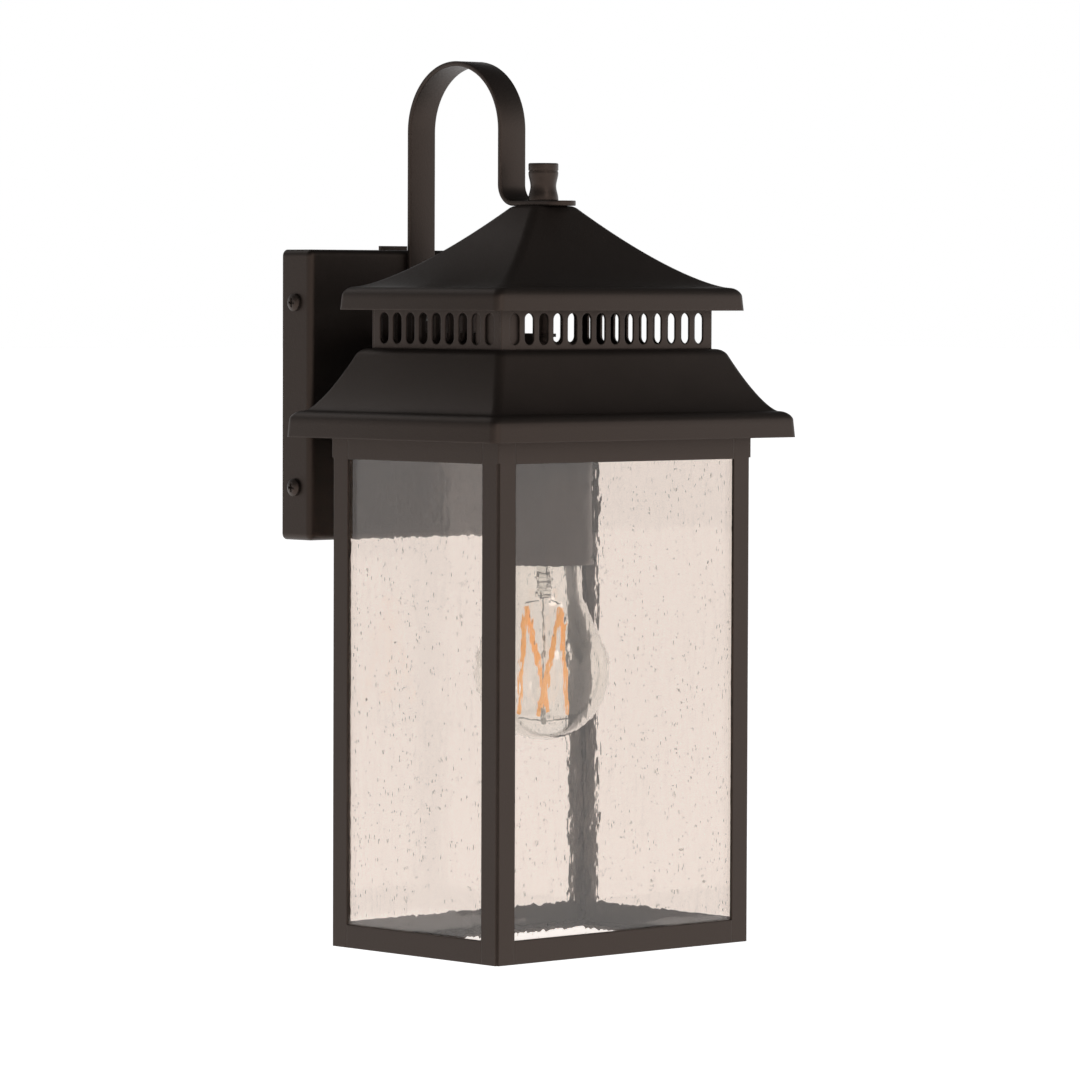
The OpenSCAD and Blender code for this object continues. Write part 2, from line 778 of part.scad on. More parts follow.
module deep_rail(sx, z0, h, flange_z) {
    inner = frame_d / 2 - bar_w;
    flange = min(frame_d / 2 - rail_flange, inner);
    color(bronze) at_axis() mirror([sx > 0 ? 1 : 0, 0, 0]) {
        box(-frame_w / 2, -frame_w / 2 + bar_t, -inner, inner, z0, z0 + h);
        box(-frame_w / 2, -frame_w / 2 + rail_flange, -flange, flange, flange_z, flange_z + bar_t);
    }
}

top_rail_h = frame_top - open_top;
module bottom_rail_front() { wide_rail(-1, frame_bottom, bar_w, frame_bottom); }
module bottom_rail_back() { wide_rail(1, frame_bottom, bar_w, frame_bottom); }
module bottom_rail_left() { deep_rail(-1, frame_bottom, bar_w, frame_bottom); }
module bottom_rail_right() { deep_rail(1, frame_bottom, bar_w, frame_bottom); }
module top_rail_front() { wide_rail(-1, open_top, top_rail_h, frame_top - bar_t); }
module top_rail_back() { wide_rail(1, open_top, top_rail_h, frame_top - bar_t); }
module top_rail_left() { deep_rail(-1, open_top, top_rail_h, frame_top - bar_t); }
module top_rail_right() { deep_rail(1, open_top, top_rail_h, frame_top - bar_t); }

pane_x = frame_w / 2 - bar_w + glass_lap;
pane_y = frame_d / 2 - bar_w + glass_lap;
pane_out_y = frame_d / 2 - bar_t - glass_gap;
pane_out_x = frame_w / 2 - bar_t - glass_gap;

module glass_front() {
    color(clear_glass) at_axis()
        box(-pane_x, pane_x, -pane_out_y, -pane_out_y + glass_t, glass_z0, glass_z1);
}

module glass_back() {
    color(clear_glass) at_axis()
        box(-pane_x, pane_x, pane_out_y - glass_t, pane_out_y, glass_z0, glass_z1);
}

module glass_left() {
    color(clear_glass) at_axis()
        box(-pane_out_x, -pane_out_x + glass_t, -pane_y, pane_y, glass_z0, glass_z1);
}

module glass_right() {
    color(clear_glass) at_axis()
        box(pane_out_x - glass_t, pane_out_x, -pane_y, pane_y, glass_z0, glass_z1);
}

// Bent clip from a post's inside over the edge of a pane.
// reach_in is measured from the middle of the pane's own side.
module clip_shape(edge, wall, face) {
    polygon([
        [edge + 3, wall], [edge + 3, wall - clip_t], [edge + touch + clip_t, wall - clip_t],
        [edge + touch + clip_t, face - touch - clip_t], [edge - 2.8, face - touch - clip_t],
        [edge - 2.8, face - touch], [edge + touch, face - touch], [edge + touch, wall]]);
}

module glass_clips() {
    heights = [glass_z0 + slack, open_top + slack];
    color(bronze) at_axis() for (z = heights, sx = [0, 1], sy = [0, 1])
        mirror([sx, 0, 0]) mirror([0, sy, 0]) translate([0, 0, z]) linear_extrude(clip_h) {
            clip_shape(pane_x, frame_d / 2 - bar_t, pane_out_y - glass_t);
            mirror([1, -1, 0])
                clip_shape(pane_y, frame_w / 2 - bar_t, pane_out_x - glass_t);
        }
}

// ---------------------------------------------------------------- lamp holder

module socket_cup() {
    color(bronze) at_axis() difference() {
        translate([0, 0, cup_bottom]) cylinder(r = cup_d / 2, h = cup_h, $fn = 96);
        translate([0, 0, cup_bottom - e])
            cylinder(r = cup_d / 2 - cup_t, h = cup_h - cup_t + e, $fn = 96);
        translate([0, 0, cup_bottom]) cylinder(r = rod_d / 2 + slack, h = cup_h + e);
        translate([0, lead_back, cup_bottom]) cylinder(r = lead_hole_r, h = cup_h + e);
    }
}

module holder_bridge() {
    half = bridge_w / 2;
    color(steel) at_axis() difference() {
        union() {
            box(-bridge_x, bridge_x, -half, half, bridge_top - bridge_t, bridge_top);
            mirror_x() {
                box(bridge_x - bridge_t, bridge_x, -half, half, holder_top, bridge_top);
                box(bridge_x - 7.5, bridge_x, -half, half, holder_top, holder_top + bridge_t);
            }
        }
        translate([0, 0, holder_top]) cylinder(r = rod_d / 2 + slack, h = cup_h);
        mirror_x() translate([bridge_x - 4.5, 0, holder_top - e])
            cylinder(r = 1.5 + slack, h = bridge_t + 2 * e);
    }
}

module holder_screws() {
    color(steel) at_axis() mirror_x()
        translate([bridge_x - 4.5, 0, holder_top + bridge_t]) {
            cylinder(r = 2.6, h = 1.8);
            translate([0, 0, -bridge_t - 5]) cylinder(r = 1.5, h = bridge_t + 5 + e);
        }
}

module holder_body() {
    color(porcelain) at_axis() difference() {
        translate([0, 0, holder_mouth]) cylinder(r = holder_r, h = holder_top - holder_mouth);
        translate([0, 0, holder_mouth - e])
            cylinder(r = holder_bore_r, h = tip_z + 2 - holder_mouth + 2 * e);
        mirror_x() translate([bridge_x - 4.5, 0, holder_top - 5.5])
            cylinder(r = 1.5 + e, h = 5.5 + e);
    }
}

module holder_shell() {
    color(brass) at_axis() translate([0, 0, holder_mouth + 1])
        ring(shell_r + shell_t, shell_r, shell_len);
}

module holder_contact() {
    color(brass) at_axis() translate([0, 0, tip_z + 0.3]) cylinder(r = 4, h = 1.7);
}

// ---------------------------------------------------------------- lamp

module bulb_contact() {
    color(steel) at_axis() translate([0, 0, tip_z - 1]) cylinder(r1 = 4.4, r2 = 3.6, h = 1);
}

module bulb_insulator() {
    color([0.12, 0.1, 0.14]) at_axis() rotate_extrude() polygon([
        [0, tip_z - 1.05], [5.2, tip_z - 1.05], [base_d / 2 - 2.6, tip_z - 3.8],
        [base_d / 2 - 2.6, tip_z - 5.5], [0, tip_z - 5.5]]);
}

// Screw base: thread crests and roots stand one pitch apart
module bulb_base() {
    r = base_d / 2;
    turns = 5;
    thread_top = tip_z - 5;
    crests = [for (i = [0 : turns - 1], s = [0 : 5])
        let (z = thread_top - lamp_pitch * (i + s / 6))
        [r - 0.45 + 0.45 * cos(60 * s - 180), z]];
    color([0.76, 0.76, 0.78]) at_axis() rotate_extrude() polygon(concat(
        [[r - 2.5, tip_z - 3.8], [r - 0.9, tip_z - 4.2]], crests,
        [[r - 0.5, thread_top - lamp_pitch * turns], [r - 0.2, base_rim], [r - 0.7, base_rim],
            [r - 1.3, base_rim + 3], [r - 1.3, tip_z - 5.5], [r - 2.5, tip_z - 5.5]]));
}

// Glass outline from the end of the ball up to the neck inside the base
function swell(t) = (1 - cos(180 * t)) / 2;
function glass_line(inset_by) = concat(
    [for (i = [0 : 14])
        let (a = 90 * i / 14)
        [(bulb_d / 2 - inset_by) * sin(a), ball_z - (31.8 - inset_by) * cos(a)]],
    [for (i = [1 : 12])
        let (t = i / 12)
        [neck_r - inset_by + (bulb_d / 2 - neck_r) * (1 - swell(t)),
            ball_z + (neck_z - ball_z) * t]],
    [for (i = [1 : 6])
        let (t = i / 6)
        [neck_top_r - inset_by + (neck_r - neck_top_r) * (1 - swell(t)),
            max(neck_z, neck_low_z) + (base_rim + 1 - max(neck_z, neck_low_z)) * t]],
    [[neck_top_r - inset_by, base_rim + 6]]);

module bulb_glass() {
    outer = glass_line(0);
    inner = glass_line(glass_wall);
    color(clear_glass) at_axis() rotate_extrude($fn = 96) polygon(concat(
        outer, [for (i = [len(inner) - 1 : -1 : 0]) inner[i]]));
}

stem_end = tip_z - 51;
module bulb_stem() {
    color(clear_glass) at_axis() rotate_extrude() polygon([
        [0, base_rim + 5], [neck_top_r - glass_wall - 0.6, base_rim + 5],
        [neck_top_r - glass_wall - 1.4, base_rim + 3.6], [4.4, base_rim - 8],
        [3.2, base_rim - 16], [3.6, stem_end + 3], [2.6, stem_end], [0, stem_end]]);
}

// Filament ends in the lamp's own turned frame: two shared tops, four feet
tops = [[-filament_top_x, 0], [filament_top_x, 0]];
feet = [for (k = [0 : 3]) filament_end_r * [cos(90 * k - 12), sin(90 * k - 12)]];
runs = [[0, 2], [0, 1], [1, 3], [1, 0]];

function filament_head(k) =
    let (r = runs[k], side = (k % 2 == 0) ? -1.4 : 1.4)
    [tops[r[0]][0], tops[r[0]][1] + side, filament_top];
function filament_foot(k) = let (f = feet[runs[k][1]]) [f[0], f[1], filament_end];

module bulb_filaments() {
    color([1, 0.62, 0.25]) at_axis() rotate([0, 0, view_turn]) for (k = [0 : 3])
        rod_between(filament_head(k), filament_foot(k), filament_r);
}

// Centre wire with a glass bead at its foot, and a thin support to each filament end
module bulb_wires() {
    bead = 1.3;
    bead_z = filament_end - 4;
    color(steel) at_axis() rotate([0, 0, view_turn]) {
        translate([0, 0, bead_z]) cylinder(r = bead, h = 2.4, $fn = 12);
        translate([0, 0, bead_z + 1]) cylinder(r = 0.45, h = stem_end - touch - bead_z - 1, $fn = 8);
        for (k = [0 : 3]) {
            foot = filament_foot(k);
            head = filament_head(k);
            rod_between([foot[0], foot[1], filament_end - filament_r - 0.6],
                [foot[0] * 0.07, foot[1] * 0.07, bead_z + 1.2], 0.3);
            rod_between([head[0], head[1], filament_top + filament_r + 0.5],
                [head[0] * 0.4, head[1] * 0.4, stem_end - 0.9], 0.3);
        }
    }
}

backplate();
wall_bracket();
side_screws();
ground_screw();
ground_lead();
arm_strap();
arm_channel();
arm_screws();
arm_nuts();
wire_bushing();
lead_black();
lead_white();
threaded_rod();
channel_nut();
rod_washer();
rod_nut();
finial();
upper_roof();
gallery_front();
gallery_back();
gallery_left();
gallery_right();
gallery_seam_angle();
lower_roof();
soffit_plate();
post_front_left();
post_front_right();
post_back_left();
post_back_right();
bottom_rail_front();
bottom_rail_back();
bottom_rail_left();
bottom_rail_right();
top_rail_front();
top_rail_back();
top_rail_left();
top_rail_right();
glass_front();
glass_back();
glass_left();
glass_right();
glass_clips();
socket_cup();
holder_bridge();
holder_screws();
holder_body();
holder_shell();
holder_contact();
bulb_contact();
bulb_insulator();
bulb_base();
bulb_glass();
bulb_stem();
bulb_wires();
bulb_filaments();
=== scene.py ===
import json
import math
import bmesh
import bpy
import numpy as np
from mathutils import Matrix, Vector


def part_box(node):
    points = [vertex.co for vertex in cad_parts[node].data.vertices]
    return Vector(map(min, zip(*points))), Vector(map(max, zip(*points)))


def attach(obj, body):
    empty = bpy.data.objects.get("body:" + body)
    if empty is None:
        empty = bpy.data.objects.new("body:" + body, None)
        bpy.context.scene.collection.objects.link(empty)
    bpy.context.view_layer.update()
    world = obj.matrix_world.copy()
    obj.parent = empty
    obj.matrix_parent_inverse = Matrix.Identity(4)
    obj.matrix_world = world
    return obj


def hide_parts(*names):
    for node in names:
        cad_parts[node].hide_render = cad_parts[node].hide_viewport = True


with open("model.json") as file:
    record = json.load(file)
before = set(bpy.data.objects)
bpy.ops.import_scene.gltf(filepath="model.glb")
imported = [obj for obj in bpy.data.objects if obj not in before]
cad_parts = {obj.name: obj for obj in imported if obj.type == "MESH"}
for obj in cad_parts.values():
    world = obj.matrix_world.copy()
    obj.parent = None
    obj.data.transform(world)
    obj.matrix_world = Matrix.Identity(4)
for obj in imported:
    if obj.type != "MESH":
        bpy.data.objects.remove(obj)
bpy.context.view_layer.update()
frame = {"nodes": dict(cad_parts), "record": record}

record = frame["record"]
nodes = frame["nodes"]
mm = 0.001


class Wire:
    # one output socket; sums and products of it add Math nodes
    def __init__(self, tree, socket):
        self.tree = tree
        self.socket = socket

    def math(self, operation, first, second):
        node = self.tree.nodes.new("ShaderNodeMath")
        node.operation = operation
        for slot, value in zip(node.inputs, (first, second)):
            plug(self.tree, slot, value)
        return Wire(self.tree, node.outputs[0])

    def __add__(self, other):
        return self.math("ADD", self, other)

    def __radd__(self, other):
        return self.math("ADD", other, self)

    def __sub__(self, other):
        return self.math("SUBTRACT", self, other)

    def __rsub__(self, other):
        return self.math("SUBTRACT", other, self)

    def __mul__(self, other):
        return self.math("MULTIPLY", self, other)

    def atMost(self, other):
        return self.math("MINIMUM", self, other)

    def atLeast(self, other):
        return self.math("MAXIMUM", self, other)


def plug(tree, slot, value):
    if isinstance(value, Wire):
        tree.links.new(value.socket, slot)
    elif isinstance(value, tuple) and len(value) == 3 and slot.type == "RGBA":
        slot.default_value = (*value, 1)
    else:
        slot.default_value = value


class Nodes:
    # makes the nodes of one material or of the world
    def __init__(self, owner):
        owner.use_nodes = True
        self.tree = owner.node_tree
        self.tree.nodes.clear()

    def add(self, kind, settings=None, inputs=None, out=0):
        node = self.tree.nodes.new("ShaderNode" + kind)
        for key, value in (settings or {}).items():
            if key == "stops":
                ramp = node.color_ramp.elements
                while len(ramp) < len(value):
                    ramp.new(0.5)
                for stop, (place, colour) in zip(ramp, value):
                    stop.position = place
                    stop.color = (*colour, 1)
            else:
                setattr(node, key, value)
        for key, value in (inputs or {}).items():
            plug(self.tree, node.inputs[key], value)
        return Wire(self.tree, node.outputs[out])

    def noise(self, where, scale, detail=3.0, roughness=0.5):
        inputs = {"Vector": where, "Scale": scale, "Detail": detail, "Roughness": roughness}
        return self.add("TexNoise", None, inputs)

    def blend(self, factor, first, second):
        return self.add("Mix", {"data_type": "RGBA"}, {0: factor, 6: first, 7: second}, out=2)

    def stretch(self, where, factors):
        return self.add("VectorMath", {"operation": "MULTIPLY"}, {0: where, 1: factors})

    def bump(self, height, strength, distance, normal=None):
        inputs = {"Height": height, "Strength": strength, "Distance": distance}
        if normal is not None:
            inputs["Normal"] = normal
        return self.add("Bump", None, inputs)

    def finish(self, shader, kind="OutputMaterial"):
        node = self.tree.nodes.new("ShaderNode" + kind)
        self.tree.links.new(shader.socket, node.inputs["Surface"])


def newMaterial(name):
    material = bpy.data.materials.new(name)
    return material, Nodes(material)


# dark bronze paint on every sheet part

bronzePaint = {
    "dark": (0.0105, 0.0088, 0.0078),
    "light": (0.019, 0.0152, 0.0132),
    "worn": (0.075, 0.056, 0.045),
    "sheen": (1.0, 0.72, 0.59, 1),
    "roughness": 0.4,
    "grainBump": 0.35,
    "edgeRadius": 0.0009,
    "cloudScale": 38.0,
    "grainScale": 1150.0,
    "speckScale": 2600.0,
    "grainDeep": 0.00025,
}


def paintedBronze(name, paintedLightAndToneLift=1.0, roughness=None):
    # two tones in soft clouds, fine grain, and a paler rub where the sheet turns an edge
    v = bronzePaint
    material, n = newMaterial(name)
    where = n.add("TexCoord", out="Object")
    clouds = n.noise(where, v["cloudScale"], 4.0, 0.6)
    grain = n.noise(where, v["grainScale"], 2.0, 0.6)
    specks = n.noise(where, v["speckScale"], 1.0)
    soft = n.add("Bevel", {"samples": 4}, {"Radius": v["edgeRadius"]})
    flat = n.add("NewGeometry", out="Normal")
    facing = n.add("VectorMath", {"operation": "DOT_PRODUCT"}, {0: soft, 1: flat}, out="Value")
    edge = ((1.0 - facing) * 6.0).atMost(1.0).atLeast(0.0)
    rub = edge * ((clouds - 0.42) * 3.0).atMost(1.0).atLeast(0.0) * grain
    tone = (clouds * 0.7 + grain * 0.6 - 0.15).atMost(1.0).atLeast(0.0)
    # this scale makes lighter and darker copies of one bronze paint: painted light and painted shade,
    # except where a part's own colour differs
    dark = tuple(c * paintedLightAndToneLift for c in v["dark"])
    light = tuple(c * paintedLightAndToneLift for c in v["light"])
    colour = n.blend(rub, n.blend(tone, dark, light), v["worn"])
    rough = (roughness or v["roughness"]) - 0.06 + grain * 0.14 + clouds * 0.06 - rub * 0.15
    shape = n.bump(grain * 0.7 + specks * 0.3, v["grainBump"], v["grainDeep"], soft)
    n.finish(n.add("BsdfPrincipled", None, {
        "Base Color": colour, "Roughness": rough, "Normal": shape,
        "Specular IOR Level": 0.55, "Specular Tint": v["sheen"]}))
    return material


def plainMetal(name, dark, light, roughness, brushed=(1, 1, 1), dents=0.1):
    # streaked tone and roughness; brushed squeezes the streaks along one axis
    material, n = newMaterial(name)
    where = n.add("TexCoord", out="Object")
    streaks = n.noise(n.stretch(where, brushed), 900.0, 3.0, 0.6)
    stains = n.noise(where, 120.0, 3.0)
    colour = n.blend((streaks * 0.6 + stains * 0.5 - 0.05).atMost(1.0), dark, light)
    rough = roughness - 0.08 + streaks * 0.12 + stains * 0.08
    shape = n.bump(streaks, dents, 0.0001)
    n.finish(n.add("BsdfPrincipled", None, {
        "Base Color": colour, "Roughness": rough, "Normal": shape, "Metallic": 1.0}))
    return material


def plainCover(name, dark, light, roughness, coat=0.0, pits=0.15, scale=700.0):
    # plastic, rubber or porcelain: faint mottling and pits
    material, n = newMaterial(name)
    where = n.add("TexCoord", out="Object")
    mottle = n.noise(where, scale * 0.2, 4.0)
    pit = n.noise(where, scale, 2.0)
    colour = n.blend(mottle, dark, light)
    shape = n.bump(pit, pits, 0.0001)
    n.finish(n.add("BsdfPrincipled", None, {
        "Base Color": colour, "Roughness": roughness - 0.05 + pit * 0.1, "Normal": shape,
        "Coat Weight": coat}))
    return material


# the four panes

paneLook = {
    "tint": (0.89, 0.825, 0.78, 1),      # what one face lets through
    "haze": (0.72, 0.62, 0.54, 1),
    "hazeShare": 0.026,
    "streaks": 0.05,
    "wave": 0.0001,
    "rippleScale": 190.0,
    "drawnScale": 520.0,
    "cloudScale": 22.0,
}


def seededGlass(name):
    # clear drawn glass whose faces ripple up and down, under a thin warm haze with upright streaks
    v = paneLook
    material, n = newMaterial(name)
    where = n.add("TexCoord", out="Object")
    ripple = n.noise(n.stretch(where, (1.0, 1.0, 0.7)), v["rippleScale"], 1.5, 0.5)
    drawn = n.noise(n.stretch(where, (1.0, 1.0, 0.12)), v["drawnScale"], 2.0, 0.6)
    cloud = n.noise(n.stretch(where, (1.0, 1.0, 0.5)), v["cloudScale"], 2.0)
    wave = n.bump(ripple * 0.85 + drawn * 0.15, 1.0, v["wave"])
    streak = ((drawn - 0.56) * 4.0).atLeast(0.0).atMost(1.0)
    share = v["hazeShare"] * 0.6 + cloud * v["hazeShare"] * 0.8 + streak * v["streaks"]
    clear = n.add("BsdfPrincipled", None, {
        "Base Color": v["tint"], "Roughness": 0.0, "Transmission Weight": 1.0, "IOR": 1.5,
        "Normal": wave})
    cloudy = n.add("BsdfPrincipled", None, {"Base Color": v["haze"], "Roughness": 0.5})
    n.finish(n.add("MixShader", None, {0: share, 1: clear, 2: cloudy}))
    return material


def seedGlass(name):
    # trapped bubbles: a clear middle and a dark glossy rim; the rim's dark colour is painted shade,
    # standing in for the light that a bubble's edge bends away
    material, n = newMaterial(name)
    rim = n.add("LayerWeight", None, {"Blend": 0.5}, out="Facing")
    through = n.add("BsdfTransparent", None, {"Color": (0.95, 0.93, 0.9, 1)})
    # painted shade: the dark ring colour that the facing mask brings in towards the bubble's edge
    ring = n.add("BsdfPrincipled", None, {
        "Base Color": (0.05, 0.042, 0.036, 1), "Roughness": 0.1, "Specular IOR Level": 1.0})
    n.finish(n.add("MixShader", None, {0: (rim * 1.6 + 0.1).atMost(0.92), 1: through, 2: ring}))
    return material


def lampGlass(name):
    # thin blown glass with a faint wave and a film of dust
    material, n = newMaterial(name)
    where = n.add("TexCoord", out="Object")
    wave = n.bump(n.noise(where, 70.0, 1.0), 0.5, 0.00003)
    film = n.noise(where, 160.0, 3.0)
    clear = n.add("BsdfPrincipled", None, {
        "Base Color": (0.985, 0.99, 0.975, 1), "Roughness": 0.0, "Transmission Weight": 1.0, "IOR": 1.5,
        "Normal": wave})
    dust = n.add("BsdfPrincipled", None, {"Base Color": (0.75, 0.74, 0.7, 1), "Roughness": 0.5})
    n.finish(n.add("MixShader", None, {0: 0.01 + film * 0.02, 1: clear, 2: dust}))
    return material


def filamentCoat(name):
    # orange phosphor coat with a slightly uneven skin and a faint painted glow of its own colour
    material, n = newMaterial(name)
    where = n.add("TexCoord", out="Object")
    lumps = n.noise(where, 1400.0, 2.0)
    colour = n.blend(lumps, (0.9, 0.36, 0.07), (1.0, 0.5, 0.14))
    # painted glow: the coat emits a little light, far weaker than a lit lamp's
    n.finish(n.add("BsdfPrincipled", None, {
        "Base Color": colour, "Roughness": 0.45, "Normal": n.bump(lumps, 0.3, 0.0002),
        "Emission Color": colour, "Emission Strength": 0.7}))
    return material


# the number after each bronze name scales the paint: the plate's 0.45 is painted shade, the frame's 1.2 and
# the cup's 1.5 are painted light, and black steel's 0.7 is its own darker colour
finishes = {
    "bronze_plate": paintedBronze("bronzePlatePaintedShade", 0.45),
    "bronze_arm": paintedBronze("bronzeArm", 1.0),
    "bronze_screws": paintedBronze("bronzeScrews", 1.0, 0.35),
    "bronze_turned": paintedBronze("bronzeTurned", 0.9, 0.34),
    "bronze_roof": paintedBronze("bronzeRoof", 1.0),
    "bronze_frame": paintedBronze("bronzeFramePaintedLight", 1.2),
    "bronze_cup": paintedBronze("bronzeCupPaintedLight", 1.5, 0.38),
    "zinc_steel": plainMetal("zincSteel", (0.42, 0.41, 0.38), (0.66, 0.66, 0.65), 0.38),
    "black_steel": paintedBronze("blackSteel", 0.7, 0.35),
    "green_screw": plainCover("greenScrew", (0.01, 0.12, 0.03), (0.02, 0.2, 0.06), 0.3, 0.4),
    "copper": plainMetal("bareCopper", (0.5, 0.22, 0.12), (0.75, 0.4, 0.25), 0.32),
    "black_plastic": plainCover("blackPlastic", (0.012, 0.012, 0.012), (0.024, 0.024, 0.024), 0.5),
    "lead_black": plainCover("blackLead", (0.012, 0.012, 0.013), (0.025, 0.025, 0.026), 0.45),
    "lead_white": plainCover("whiteLead", (0.62, 0.6, 0.55), (0.76, 0.74, 0.7), 0.45),
    "seeded_glass": seededGlass("seededGlass"),
    "lamp_glass": lampGlass("lampGlass"),
    "porcelain": plainCover("porcelain", (0.72, 0.7, 0.65), (0.82, 0.8, 0.76), 0.2, 0.6, 0.05, 300.0),
    "brass": plainMetal("brass", (0.5, 0.33, 0.12), (0.72, 0.52, 0.24), 0.3),
    "solder": plainMetal("solder", (0.38, 0.38, 0.38), (0.6, 0.6, 0.6), 0.4, dents=0.3),
    "black_glass": plainCover("blackGlass", (0.012, 0.01, 0.016), (0.03, 0.026, 0.038), 0.15, 0.5),
    "nickel": plainMetal("nickel", (0.5, 0.49, 0.47), (0.74, 0.74, 0.73), 0.25, (1, 1, 6)),
    "support_wire": plainMetal("supportWire", (0.3, 0.28, 0.26), (0.55, 0.53, 0.5), 0.3),
    "filament": filamentCoat("filamentCoat"),
}
bubbleGlass = seedGlass("bubbleGlass")
for part in record["subparts"]:
    node = nodes[part["node"]]
    node.data.materials.clear()
    node.data.materials.append(finishes[part["material_slot"]])
slotOf = {part["node"]: part["material_slot"] for part in record["subparts"]}
bodyOf = {name: body for body, names in record["behaviour"]["bodies"].items() for name in names}
print("finishes ready")


def closeUp(mesh):
    # join the seam and the poles, turn the faces outwards and smooth them
    work = bmesh.new()
    work.from_mesh(mesh)
    bmesh.ops.remove_doubles(work, verts=work.verts, dist=1e-7)
    bmesh.ops.dissolve_degenerate(work, edges=work.edges, dist=1e-8)
    bmesh.ops.recalc_face_normals(work, faces=work.faces)
    work.to_mesh(mesh)
    work.free()
    mesh.polygons.foreach_set("use_smooth", np.ones(len(mesh.polygons), bool))


def ringQuads(rows, columns):
    # quads between neighbouring rows; the last column joins the first
    index = np.arange(rows * columns).reshape(rows, columns)
    right = np.roll(index, -1, axis=1)
    return index, np.stack([index[:-1], right[:-1], right[1:], index[1:]], axis=-1).reshape(-1, 4)


def gridPiece(name, grid, stands, sharp=38.0):
    # grid[row, column] is a point; columns close on themselves and both end rows are capped
    index, quads = ringQuads(*grid.shape[:2])
    faces = quads.tolist() + [index[0, ::-1].tolist(), index[-1].tolist()]
    mesh = bpy.data.meshes.new(name)
    mesh.from_pydata(grid.reshape(-1, 3).tolist(), [], faces)
    closeUp(mesh)
    mesh.set_sharp_from_angle(angle=math.radians(sharp))
    piece = bpy.data.objects.new(name, mesh)
    bpy.context.scene.collection.objects.link(piece)
    mesh.materials.append(finishes[slotOf[stands]])
    return piece


def standFor(piece, node):
    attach(piece, bodyOf[node])
    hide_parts(node)


def ease(t):
    return (1 - np.cos(np.pi * t)) / 2


def turned(name, outline, node, around=96):
    # a point (r, z) of the outline goes to (r cos a, y0 + r sin a, z)
    angle = np.linspace(0, 2 * np.pi, around, endpoint=False)
    outline = np.asarray(outline, float)
    r = outline[:, :1]
    grid = np.stack([r * np.cos(angle), axisY + r * np.sin(angle), outline[:, 1:] + 0 * angle], axis=-1)
    standFor(gridPiece(name, grid, node), node)


rodLow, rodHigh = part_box("threaded_rod")
axisY = (rodLow[1] + rodHigh[1]) / 2

# both roofs share a sheet and a lip

roofShape = {
    "corner": 4 * mm, "sheet": 1 * mm, "curve": 1.4, "lipIn": 3 * mm, "creaseRound": 5.2 * mm,
    "creaseTurn": 72, "creaseUp": 0.4 * mm, "shoulder": 5 * mm,
    "upper": {"node": "upper_roof", "top": (10.93 * mm, 7.67 * mm), "lip": 10 * mm},
    "lower": {"node": "lower_roof", "top": (67.1 * mm, 45.1 * mm), "lip": 11.5 * mm},
}


def roundedCorners(steps):
    # the angles round four corner arcs, and the side of x and y that each lies on
    q = np.radians(np.concatenate([np.linspace(k * 90, k * 90 + 90, steps) for k in range(4)]))
    return q, np.repeat([1, -1, -1, 1], steps), np.repeat([1, 1, -1, -1], steps)


def hipRoof(name, shape):
    # rounded rectangle rings over an outline: a shoulder arc, a slope z = edge + fall (1 - t)^curve,
    # a crease arc and a straight lip; the inner skin is the outline moved in by the sheet
    v = roofShape
    low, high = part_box(shape["node"])
    xTop, yTop = shape["top"]
    xLip, yLip = (high[0] - low[0]) / 2, (high[1] - low[1]) / 2
    turn, arc = v["creaseRound"], v["shoulder"]
    xEdge, zEdge = xLip - v["lipIn"] - turn / 2, low[2] + shape["lip"] + v["creaseUp"]
    lean = math.atan(v["curve"] * (high[2] - zEdge) / (xEdge - xTop))
    b = np.linspace(0, lean, 10)[:-1]
    t = np.linspace(0, 1, 40)
    startX, startZ = xTop + arc * math.sin(lean), high[2] - arc * (1 - math.cos(lean))
    slopeX = np.concatenate([xTop + arc * np.sin(b), startX + (xEdge - startX) * t])
    slopeZ = np.concatenate([
        high[2] - arc * (1 - np.cos(b)), zEdge + (startZ - zEdge) * (1 - t) ** v["curve"]])
    a = np.radians(np.linspace(0, v["creaseTurn"], 14)[1:])
    edgeX = xEdge + turn * np.sin(a)
    edgeZ = zEdge - turn * (1 - np.cos(a))
    lip = np.linspace(0, 1, 5)[1:]
    x = np.concatenate([slopeX, edgeX, edgeX[-1] + (xLip - edgeX[-1]) * lip])
    z = np.concatenate([slopeZ, edgeZ, edgeZ[-1] + (low[2] - edgeZ[-1]) * lip])
    y = yTop + (x - xTop) * (yLip - yTop) / (xLip - xTop)
    dx, dz = np.gradient(x), np.gradient(z)
    size = np.hypot(dx, dz)
    dx[0], dz[0], size[0] = 1, 0, 1
    inX = x + v["sheet"] * dz / size
    inZ = z - v["sheet"] * dx / size
    inZ[-1] = low[2]
    allX = np.concatenate([x, inX[::-1]])
    allY = np.concatenate([y, (y + inX - x)[::-1]])
    allZ = np.concatenate([z, inZ[::-1]])
    q, sideX, sideY = roundedCorners(9)
    r = v["corner"]
    grid = np.stack([
        sideX * (allX[:, None] - r) + r * np.cos(q),
        axisY + sideY * (allY[:, None] - r) + r * np.sin(q),
        allZ[:, None] + 0 * q], axis=-1)
    standFor(gridPiece(name, grid, shape["node"], 50.0), shape["node"])


hipRoof("upperRoofSkin", roofShape["upper"])
hipRoof("lowerRoofSkin", roofShape["lower"])
print("roofs ready")

# strap arm, from the pan over the loop to the finial

strapShape = {
    "thick": 2.3 * mm, "edge": 0.55 * mm, "legBack": 20.1 * mm, "bend": 10 * mm,
    "footZ": 86.5 * mm, "tip": 8 * mm,
}


